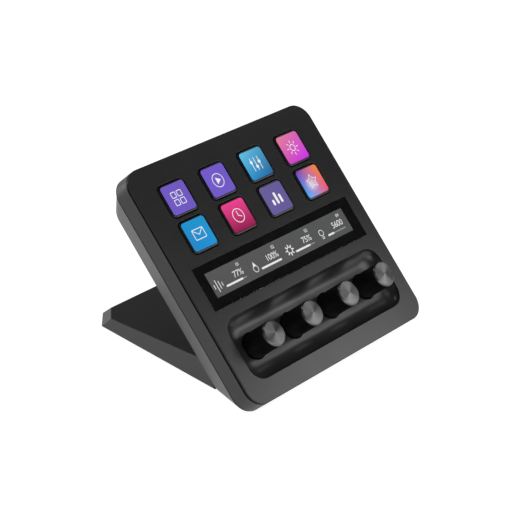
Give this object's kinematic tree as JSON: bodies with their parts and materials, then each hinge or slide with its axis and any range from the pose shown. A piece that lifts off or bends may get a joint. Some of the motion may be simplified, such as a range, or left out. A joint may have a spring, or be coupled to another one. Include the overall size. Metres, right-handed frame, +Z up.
{
  "type": "macro keypad with knobs",
  "caption": "Desk macro keypad: lit display keys over a touch strip and push-and-turn knobs in a finger dish, in a tilted tapered housing on a weighted stand.",
  "frame": {"origin": "on the table, under the middle of the whole keypad's bounding box", "axes": "+X to the right as the user sees the keys, +Y away from the user, +Z up; the keys face -Y and up, tilted 49 degrees from the table"},
  "size_m": [0.14, 0.141, 0.1073],
  "materials": {
    "face_plastic": "fine satin graphite moulding",
    "housing_plastic": "fine satin dark grey moulding",
    "stand_plastic": "fine satin dark grey moulding",
    "strip_glass": "dark polished cover glass",
    "display_module": "smooth dark display module",
    "inner_black_plastic": "plain black moulding",
    "mat_silicone": "translucent grey silicone",
    "board_green": "green solder mask",
    "chip_black": "moulded component cases",
    "port_steel": "bright drawn steel",
    "cable_white": "white flat cable",
    "weight_steel": "zinc-grey steel plate",
    "pad_rubber": "black non-slip rubber",
    "encoder_case": "pressed metal case",
    "shaft_steel": "turned steel",
    "knob_black": "glossy black with fine grip ribs",
    "knob_aluminium": "spun face with a bright bevel",
    "key_purple": "clear key over a lit purple picture",
    "key_blue": "clear key over a lit blue picture",
    "key_coral": "clear key over a lit coral to magenta picture",
    "key_azure": "clear key over a lit azure picture",
    "key_pink": "clear key over a lit pink picture",
    "key_violet": "clear key over a lit muted violet picture",
    "key_orange": "clear key over a lit orange and violet picture"
  },
  "bodies": {
    "base": {"face_plate": "face_plastic", "front_housing": "housing_plastic", "touch_glass": "strip_glass", "touch_display": "display_module", "key_frame": "inner_black_plastic", "switch_mat": "mat_silicone", "key_display": "display_module", "main_board": "board_green", "board_chips": "chip_black", "encoder_board": "board_green", "port_board": "board_green", "usb_c_shell": "port_steel", "usb_c_tongue": "inner_black_plastic", "port_cable": "cable_white", "rear_housing": "housing_plastic", "stand_shell": "stand_plastic", "stand_cover": "stand_plastic", "stand_weight": "weight_steel", "stand_pad": "pad_rubber", "front_pad": "pad_rubber", "encoder_body_1": "encoder_case", "encoder_body_2": "encoder_case", "encoder_body_3": "encoder_case", "encoder_body_4": "encoder_case"},
    "key_1": {"key_cap_1": "key_purple"},
    "key_2": {"key_cap_2": "key_purple"},
    "key_3": {"key_cap_3": "key_blue"},
    "key_4": {"key_cap_4": "key_coral"},
    "key_5": {"key_cap_5": "key_azure"},
    "key_6": {"key_cap_6": "key_pink"},
    "key_7": {"key_cap_7": "key_violet"},
    "key_8": {"key_cap_8": "key_orange"},
    "plunger_1": {"switch_plunger_1": "inner_black_plastic"},
    "knob_1": {"encoder_shaft_1": "shaft_steel", "knob_body_1": "knob_black", "knob_cap_1": "knob_aluminium"},
    "plunger_2": {"switch_plunger_2": "inner_black_plastic"},
    "knob_2": {"encoder_shaft_2": "shaft_steel", "knob_body_2": "knob_black", "knob_cap_2": "knob_aluminium"},
    "plunger_3": {"switch_plunger_3": "inner_black_plastic"},
    "knob_3": {"encoder_shaft_3": "shaft_steel", "knob_body_3": "knob_black", "knob_cap_3": "knob_aluminium"},
    "plunger_4": {"switch_plunger_4": "inner_black_plastic"},
    "knob_4": {"encoder_shaft_4": "shaft_steel", "knob_body_4": "knob_black", "knob_cap_4": "knob_aluminium"}
  },
  "joints": [
    {"name": "key_1_press", "type": "slide", "parent": "base", "child": "key_1", "axis": [0, 0.7547, -0.6561], "range_m": [0, 0.0012], "stiffness_N_per_m": 500, "springref_m": -0.0004},
    {"name": "key_2_press", "type": "slide", "parent": "base", "child": "key_2", "axis": [0, 0.7547, -0.6561], "range_m": [0, 0.0012], "stiffness_N_per_m": 500, "springref_m": -0.0004},
    {"name": "key_3_press", "type": "slide", "parent": "base", "child": "key_3", "axis": [0, 0.7547, -0.6561], "range_m": [0, 0.0012], "stiffness_N_per_m": 500, "springref_m": -0.0004},
    {"name": "key_4_press", "type": "slide", "parent": "base", "child": "key_4", "axis": [0, 0.7547, -0.6561], "range_m": [0, 0.0012], "stiffness_N_per_m": 500, "springref_m": -0.0004},
    {"name": "key_5_press", "type": "slide", "parent": "base", "child": "key_5", "axis": [0, 0.7547, -0.6561], "range_m": [0, 0.0012], "stiffness_N_per_m": 500, "springref_m": -0.0004},
    {"name": "key_6_press", "type": "slide", "parent": "base", "child": "key_6", "axis": [0, 0.7547, -0.6561], "range_m": [0, 0.0012], "stiffness_N_per_m": 500, "springref_m": -0.0004},
    {"name": "key_7_press", "type": "slide", "parent": "base", "child": "key_7", "axis": [0, 0.7547, -0.6561], "range_m": [0, 0.0012], "stiffness_N_per_m": 500, "springref_m": -0.0004},
    {"name": "key_8_press", "type": "slide", "parent": "base", "child": "key_8", "axis": [0, 0.7547, -0.6561], "range_m": [0, 0.0012], "stiffness_N_per_m": 500, "springref_m": -0.0004},
    {"name": "knob_1_push", "type": "slide", "parent": "base", "child": "plunger_1", "axis": [0, 0.7547, -0.6561], "range_m": [0, 0.0008], "stiffness_N_per_m": 3000, "springref_m": -0.0004},
    {"name": "knob_1_turn", "type": "hinge", "parent": "plunger_1", "child": "knob_1", "pos_m": [-0.04476, -0.0523, 0.02956], "axis": [0, -0.7547, 0.6561], "continuous": true},
    {"name": "knob_2_push", "type": "slide", "parent": "base", "child": "plunger_2", "axis": [0, 0.7547, -0.6561], "range_m": [0, 0.0008], "stiffness_N_per_m": 3000, "springref_m": -0.0004},
    {"name": "knob_2_turn", "type": "hinge", "parent": "plunger_2", "child": "knob_2", "pos_m": [-0.01492, -0.0523, 0.02956], "axis": [0, -0.7547, 0.6561], "continuous": true},
    {"name": "knob_3_push", "type": "slide", "parent": "base", "child": "plunger_3", "axis": [0, 0.7547, -0.6561], "range_m": [0, 0.0008], "stiffness_N_per_m": 3000, "springref_m": -0.0004},
    {"name": "knob_3_turn", "type": "hinge", "parent": "plunger_3", "child": "knob_3", "pos_m": [0.01492, -0.0523, 0.02956], "axis": [0, -0.7547, 0.6561], "continuous": true},
    {"name": "knob_4_push", "type": "slide", "parent": "base", "child": "plunger_4", "axis": [0, 0.7547, -0.6561], "range_m": [0, 0.0008], "stiffness_N_per_m": 3000, "springref_m": -0.0004},
    {"name": "knob_4_turn", "type": "hinge", "parent": "plunger_4", "child": "knob_4", "pos_m": [0.04476, -0.0523, 0.02956], "axis": [0, -0.7547, 0.6561], "continuous": true}
  ]
}
